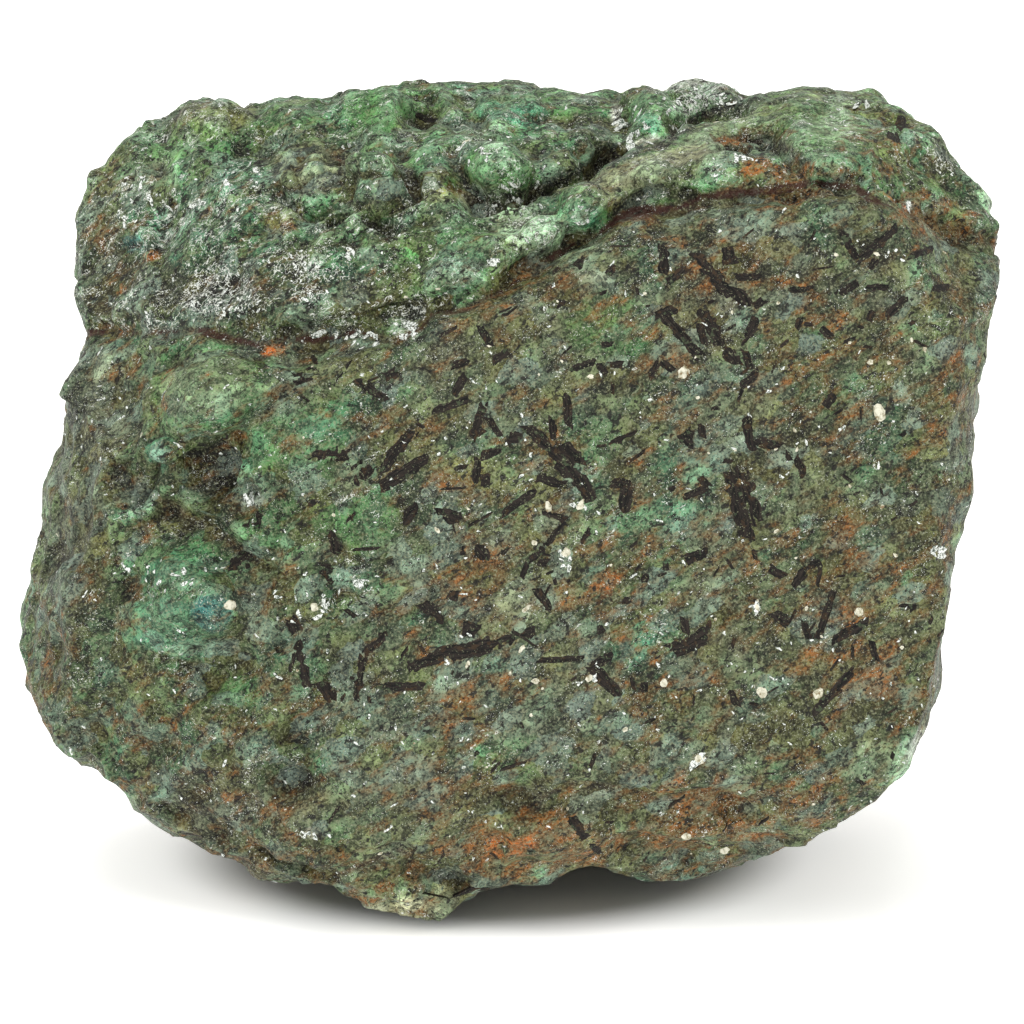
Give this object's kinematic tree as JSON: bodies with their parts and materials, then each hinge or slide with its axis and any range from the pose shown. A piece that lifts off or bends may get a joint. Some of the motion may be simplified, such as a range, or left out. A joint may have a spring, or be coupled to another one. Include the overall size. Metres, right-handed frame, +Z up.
{
  "type": "rough emerald",
  "caption": "Rough lump of green beryl with a flat broken front, an overhanging upper slab along a dark seam, and dark mica laths.",
  "frame": {"origin": "on the ground, under the middle of the stone's box", "axes": "+X to the right across the broken front, which is the longest way; +Y away from the viewer, from the front to the back; +Z up"},
  "size_m": [0.0902, 0.0578, 0.0716],
  "materials": {
    "green_beryl": "rough, cloudy grey-green to teal, slightly waxy, with black mica laths, fine mica glints and rust stains"
  },
  "bodies": {
    "root": {"rough_emerald": "green_beryl"}
  },
  "joints": []
}
